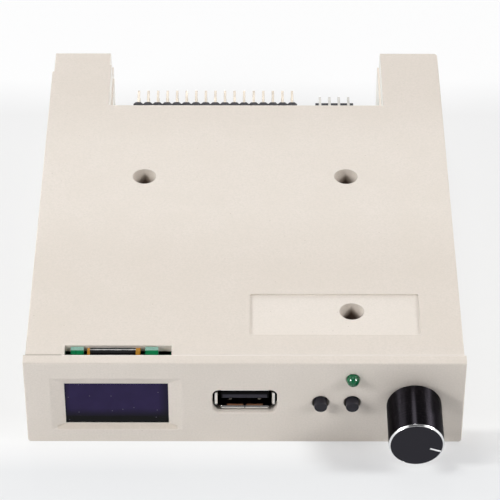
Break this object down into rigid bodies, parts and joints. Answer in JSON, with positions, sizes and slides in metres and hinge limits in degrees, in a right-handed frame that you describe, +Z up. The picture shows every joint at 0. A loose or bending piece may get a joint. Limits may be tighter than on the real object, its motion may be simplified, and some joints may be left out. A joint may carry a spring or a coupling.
{
  "type": "floppy drive emulator",
  "caption": "Floppy drive emulator for a 3.5-inch bay: white case with rear notch, display window, USB socket, push buttons, status light and push-turn knob.",
  "frame": {"origin": "bottom front edge of the bezel, on the centreline: the datum from which a drive bay is measured", "axes": "+X to the right seen from the front, +Y from the front face into the bay, +Z up"},
  "size_m": [0.1016, 0.1344, 0.025],
  "materials": {
    "case_plastic": "fine-grained warm white moulding",
    "black_plastic": "matt black moulding",
    "knob_plastic": "satin black",
    "button_plastic": "matt black",
    "bright_metal": "tinned sheet",
    "ring_metal": "turned bright",
    "pale_gold": "thin gold plating",
    "tin_pin": "tin plating",
    "screw_steel": "zinc plating",
    "zinc_casting": "plated casting",
    "brass_part": "nickelled brass",
    "board_green": "green solder mask on glass fibre",
    "display_face": "dark display glass",
    "flex_film": "black film with amber edges",
    "foam_tape": "white foam tape",
    "chip_plastic": "moulded chip body",
    "ceramic": "ceramic chip parts",
    "green_lens": "tinted clear resin",
    "pointer_paint": "white fill"
  },
  "bodies": {
    "root": {"top_cover": "case_plastic", "bottom_tray": "case_plastic", "front_bezel": "case_plastic", "case_screws": "screw_steel", "main_board": "board_green", "drive_header_body": "black_plastic", "drive_header_pins": "pale_gold", "power_header_body": "black_plastic", "power_header_pins": "tin_pin", "jumper_header_body": "black_plastic", "jumper_header_pins": "tin_pin", "jumper_caps": "black_plastic", "program_header_body": "black_plastic", "program_header_pins": "tin_pin", "processor_chip": "chip_plastic", "processor_leads": "tin_pin", "crystal": "bright_metal", "capacitors": "ring_metal", "voltage_regulator": "chip_plastic", "chip_resistors": "ceramic", "display_glass": "display_face", "display_tape": "foam_tape", "display_board": "board_green", "display_flex": "flex_film", "display_pins": "tin_pin", "usb_shell": "bright_metal", "usb_insulator": "black_plastic", "usb_foot": "black_plastic", "usb_contacts": "pale_gold", "switch_left_housing": "button_plastic", "switch_left_cover": "bright_metal", "switch_right_housing": "button_plastic", "switch_right_cover": "bright_metal", "switch_domes": "screw_steel", "led_lens": "green_lens", "led_leads": "tin_pin", "encoder_bushing": "zinc_casting", "encoder_base": "black_plastic", "encoder_dome": "screw_steel", "encoder_washer": "screw_steel", "encoder_nut": "screw_steel", "encoder_board": "board_green", "encoder_terminals": "tin_pin", "encoder_link_pins": "tin_pin"},
    "rotor": {"encoder_rotor": "brass_part"},
    "knob": {"encoder_shaft": "brass_part", "knob_body": "knob_plastic", "knob_ring": "ring_metal", "knob_pointer": "pointer_paint"},
    "left_button": {"button_left": "button_plastic"},
    "right_button": {"button_right": "button_plastic"}
  },
  "joints": [
    {"name": "encoder_turn", "type": "hinge", "parent": "root", "child": "rotor", "pos_m": [0.0391, 0.0059, 0.0128], "axis": [0, 1, 0], "continuous": true},
    {"name": "encoder_press", "type": "slide", "parent": "rotor", "child": "knob", "axis": [0, 1, 0], "range_m": [0, 0.0005], "stiffness_N_per_m": 4000, "springref_m": -0.0005},
    {"name": "left_button_press", "type": "slide", "parent": "root", "child": "left_button", "axis": [0, 1, 0], "range_m": [0, 0.00025], "stiffness_N_per_m": 4000, "springref_m": -0.0002},
    {"name": "right_button_press", "type": "slide", "parent": "root", "child": "right_button", "axis": [0, 1, 0], "range_m": [0, 0.00025], "stiffness_N_per_m": 4000, "springref_m": -0.0002}
  ]
}
